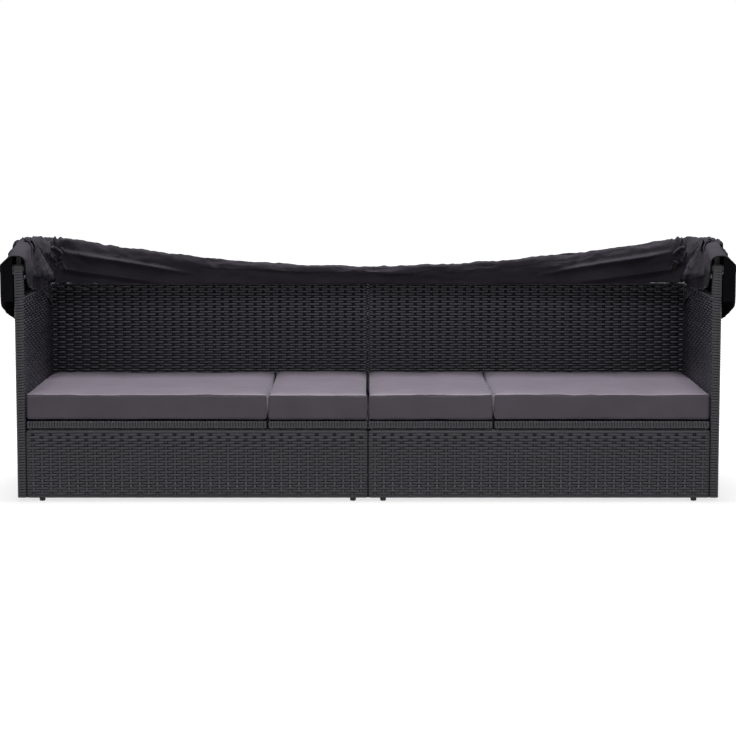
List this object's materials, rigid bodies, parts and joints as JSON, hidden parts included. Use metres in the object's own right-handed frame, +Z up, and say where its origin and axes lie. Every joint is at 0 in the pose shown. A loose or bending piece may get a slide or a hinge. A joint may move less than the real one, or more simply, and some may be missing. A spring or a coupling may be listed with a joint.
{
  "type": "outdoor daybed with canopy",
  "caption": "Box-shaped woven outdoor daybed with loose seat cushions, end decks that tilt up as headrests, and a folding cloth canopy on nested bows that pivot on short front posts.",
  "frame": {"origin": "on the floor under the middle of the daybed's box", "axes": "+X along the length towards the end on the right when seen from the front, +Y from the open front towards the backrest, +Z up"},
  "size_m": [2.093, 0.6, 0.7367],
  "materials": {
    "weave": "flat woven synthetic strip, slightly satin",
    "coated_steel": "black powder coat",
    "bolt_steel": "zinc plated",
    "cushion_cover": "plain woven outdoor cover cloth",
    "canopy_cloth": "plain woven canopy cloth with bound edges",
    "foot_plastic": "moulded foot"
  },
  "bodies": {
    "base": {"side_panel_left": "weave", "back_panel_left": "weave", "front_skirt_left": "weave", "inner_panel_left": "weave", "foot_left_front_outer": "foot_plastic", "foot_left_front_middle": "foot_plastic", "foot_left_back_outer": "foot_plastic", "foot_left_back_middle": "foot_plastic", "rear_rail_left": "coated_steel", "side_rail_left": "coated_steel", "cross_rail_left": "coated_steel", "middle_deck_left": "weave", "hinge_leaf_fixed_left_front": "coated_steel", "hinge_leaf_fixed_left_back": "coated_steel", "middle_cushion_left": "cushion_cover", "canopy_post_left": "weave", "pivot_bolt_left": "bolt_steel", "canopy_gusset_left": "canopy_cloth", "side_panel_right": "weave", "back_panel_right": "weave", "front_skirt_right": "weave", "inner_panel_right": "weave", "foot_right_front_outer": "foot_plastic", "foot_right_front_middle": "foot_plastic", "foot_right_back_outer": "foot_plastic", "foot_right_back_middle": "foot_plastic", "rear_rail_right": "coated_steel", "side_rail_right": "coated_steel", "cross_rail_right": "coated_steel", "middle_deck_right": "weave", "hinge_leaf_fixed_right_front": "coated_steel", "hinge_leaf_fixed_right_back": "coated_steel", "middle_cushion_right": "cushion_cover", "canopy_post_right": "weave", "pivot_bolt_right": "bolt_steel", "canopy_gusset_right": "canopy_cloth", "joining_bolt_front": "bolt_steel", "joining_bolt_back": "bolt_steel", "canopy_cloth_fixed": "canopy_cloth"},
    "tilt_left": {"end_deck_left": "weave", "hinge_leaf_moving_left_front": "coated_steel", "hinge_leaf_moving_left_back": "coated_steel", "end_cushion_left": "cushion_cover"},
    "tilt_right": {"end_deck_right": "weave", "hinge_leaf_moving_right_front": "coated_steel", "hinge_leaf_moving_right_back": "coated_steel", "end_cushion_right": "cushion_cover"},
    "canopy_rear": {"bow_rear": "coated_steel", "canopy_pleat_rear": "canopy_cloth"},
    "canopy_middle": {"bow_middle": "coated_steel", "canopy_pleat_middle": "canopy_cloth"},
    "canopy_front": {"canopy_flap_left": "canopy_cloth", "canopy_flap_right": "canopy_cloth", "bow_front": "coated_steel", "canopy_roll_front": "canopy_cloth"}
  },
  "joints": [
    {"name": "canopy_rear_hinge", "type": "hinge", "parent": "base", "child": "canopy_rear", "pos_m": [0, -0.288, 0.665], "axis": [1, 0, 0], "range_deg": [0, 32.5]},
    {"name": "canopy_middle_hinge", "type": "hinge", "parent": "canopy_rear", "child": "canopy_middle", "pos_m": [0, -0.288, 0.665], "axis": [1, 0, 0], "range_deg": [0, 32.5]},
    {"name": "canopy_front_hinge", "type": "hinge", "parent": "canopy_middle", "child": "canopy_front", "pos_m": [0, -0.288, 0.665], "axis": [1, 0, 0], "range_deg": [0, 32.5]},
    {"name": "tilt_left_hinge", "type": "hinge", "parent": "base", "child": "tilt_left", "pos_m": [-0.2865, 0, 0.23], "axis": [0, 1, 0], "range_deg": [0, 24], "deforming": ["end_cushion_left"]},
    {"name": "tilt_right_hinge", "type": "hinge", "parent": "base", "child": "tilt_right", "pos_m": [0.3575, 0, 0.23], "axis": [0, -1, 0], "range_deg": [0, 24], "deforming": ["end_cushion_right"]}
  ],
  "couplings": [
    {"joint": "canopy_middle_hinge", "follows": "canopy_rear_hinge", "ratio": 1},
    {"joint": "canopy_front_hinge", "follows": "canopy_rear_hinge", "ratio": 1}
  ]
}
